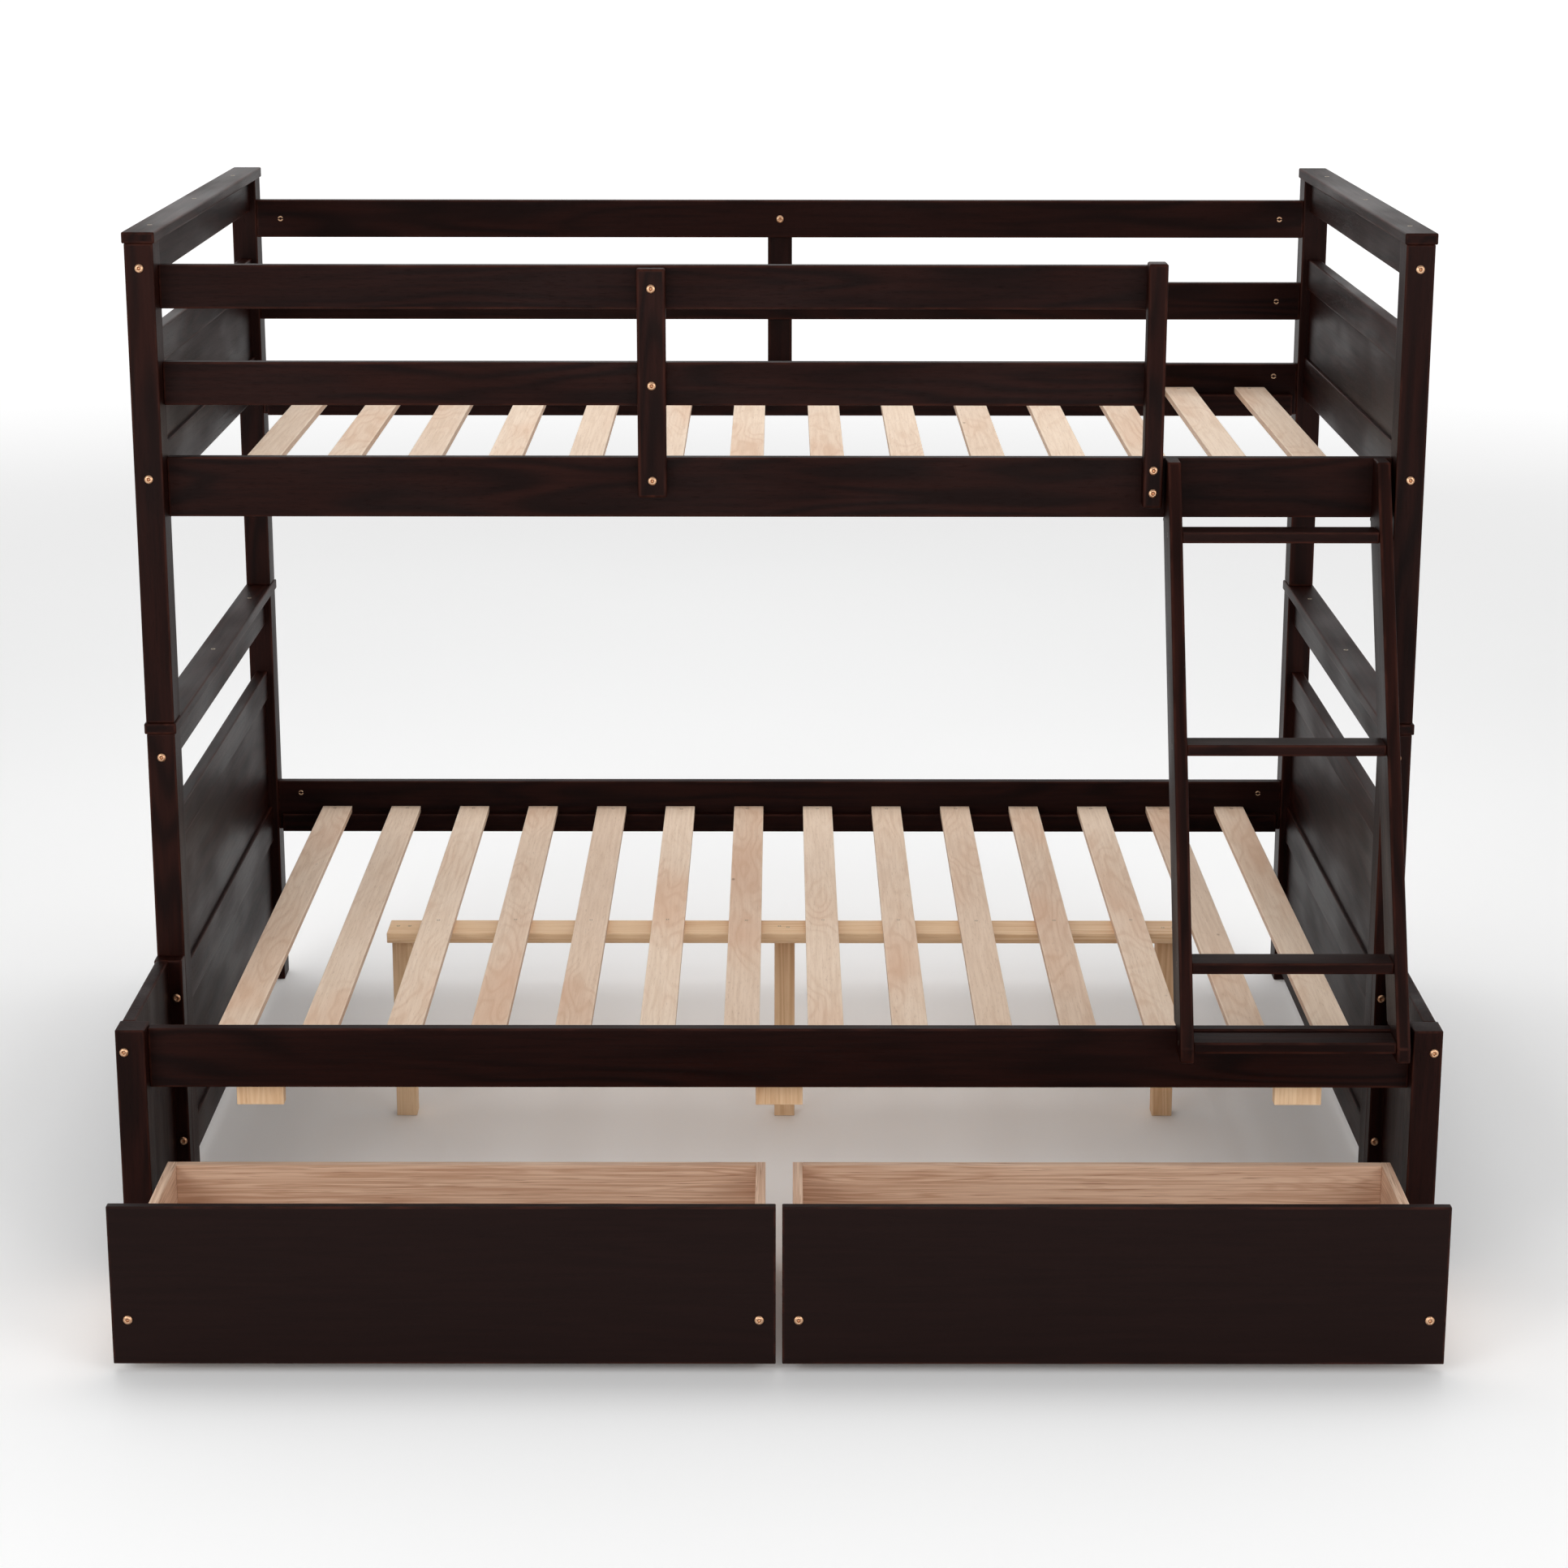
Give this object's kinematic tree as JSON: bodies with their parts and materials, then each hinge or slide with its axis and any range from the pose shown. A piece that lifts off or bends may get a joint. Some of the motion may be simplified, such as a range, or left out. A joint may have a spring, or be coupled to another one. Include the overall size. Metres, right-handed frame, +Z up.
{
  "type": "bunk bed with ladder",
  "caption": "Dark stained twin over full bunk bed with panelled ends, guard rails, slatted decks, a leaning ladder and storage drawers on wheels.",
  "frame": {"origin": "on the floor, under the middle of the bounding box of the bed with both drawers rolled out as in the rest pose", "axes": "+X along the bed towards the ladder end, +Y from the drawer side to the back, +Z up"},
  "size_m": [2.027, 1.888, 1.562],
  "materials": {
    "espresso_wood": "semi-gloss stain",
    "slat_wood": "raw plywood",
    "pine": "raw",
    "drawer_board": "printed wood grain",
    "drawer_bottom": "printed wood grain",
    "brass": "polished",
    "caster_steel": "zinc plated",
    "caster_wheel": "matt"
  },
  "bodies": {
    "bed_frame": {"cap_lower_left": "espresso_wood", "cap_lower_right": "espresso_wood", "cap_upper_left": "espresso_wood", "cap_upper_right": "espresso_wood", "centre_beam": "pine", "centre_legs": "pine", "drawer_stop_blocks": "pine", "end_panel_lower_left": "espresso_wood", "end_panel_lower_right": "espresso_wood", "end_panel_upper_left": "espresso_wood", "end_panel_upper_right": "espresso_wood", "end_rails_lower_left": "espresso_wood", "end_rails_lower_right": "espresso_wood", "end_rails_upper_left": "espresso_wood", "end_rails_upper_right": "espresso_wood", "extension_board_left": "espresso_wood", "extension_board_right": "espresso_wood", "extension_cleats": "espresso_wood", "frame_bolts": "brass", "frame_screws": "brass", "guard_batten_back": "espresso_wood", "guard_batten_front": "espresso_wood", "guard_end_upright": "espresso_wood", "guard_rails_back": "espresso_wood", "guard_rails_front": "espresso_wood", "ladder_rungs": "espresso_wood", "ladder_side_left": "espresso_wood", "ladder_side_right": "espresso_wood", "post_lower_back_left": "espresso_wood", "post_lower_back_right": "espresso_wood", "post_lower_front_left": "espresso_wood", "post_lower_front_right": "espresso_wood", "post_upper_back_left": "espresso_wood", "post_upper_back_right": "espresso_wood", "post_upper_front_left": "espresso_wood", "post_upper_front_right": "espresso_wood", "short_post_left": "espresso_wood", "short_post_right": "espresso_wood", "side_rail_lower_back": "espresso_wood", "side_rail_lower_front": "espresso_wood", "side_rail_upper_back": "espresso_wood", "side_rail_upper_front": "espresso_wood", "slat_ledgers_lower": "espresso_wood", "slat_ledgers_upper": "espresso_wood", "slats_lower": "slat_wood", "slats_upper": "slat_wood"},
    "drawer_left": {"drawer_bolts_left": "brass", "drawer_bottom_left": "drawer_bottom", "drawer_box_left": "drawer_board", "drawer_casters_left": "caster_steel", "drawer_front_left": "espresso_wood"},
    "wheels_front_left": {"drawer_wheels_front_left": "caster_wheel"},
    "wheels_back_left": {"drawer_wheels_back_left": "caster_wheel"},
    "drawer_right": {"drawer_bolts_right": "brass", "drawer_bottom_right": "drawer_bottom", "drawer_box_right": "drawer_board", "drawer_casters_right": "caster_steel", "drawer_front_right": "espresso_wood"},
    "wheels_front_right": {"drawer_wheels_front_right": "caster_wheel"},
    "wheels_back_right": {"drawer_wheels_back_right": "caster_wheel"}
  },
  "joints": [
    {"name": "drawer_left_roll", "type": "slide", "parent": "bed_frame", "child": "drawer_left", "axis": [0, 1, 0], "range_m": [-0.1, 0.416]},
    {"name": "wheels_front_left_spin", "type": "hinge", "parent": "drawer_left", "child": "wheels_front_left", "pos_m": [-0.4835, -0.8655, 0.022], "axis": [1, 0, 0], "continuous": true},
    {"name": "wheels_back_left_spin", "type": "hinge", "parent": "drawer_left", "child": "wheels_back_left", "pos_m": [-0.4835, -0.5945, 0.022], "axis": [1, 0, 0], "continuous": true},
    {"name": "drawer_right_roll", "type": "slide", "parent": "bed_frame", "child": "drawer_right", "axis": [0, 1, 0], "range_m": [-0.1, 0.416]},
    {"name": "wheels_front_right_spin", "type": "hinge", "parent": "drawer_right", "child": "wheels_front_right", "pos_m": [0.4835, -0.8655, 0.022], "axis": [1, 0, 0], "continuous": true},
    {"name": "wheels_back_right_spin", "type": "hinge", "parent": "drawer_right", "child": "wheels_back_right", "pos_m": [0.4835, -0.5945, 0.022], "axis": [1, 0, 0], "continuous": true}
  ],
  "couplings": [
    {"joint": "wheels_front_left_spin", "follows": "drawer_left_roll", "rad_per_m": -45.455},
    {"joint": "wheels_back_left_spin", "follows": "drawer_left_roll", "rad_per_m": -45.455},
    {"joint": "wheels_front_right_spin", "follows": "drawer_right_roll", "rad_per_m": -45.455},
    {"joint": "wheels_back_right_spin", "follows": "drawer_right_roll", "rad_per_m": -45.455}
  ]
}
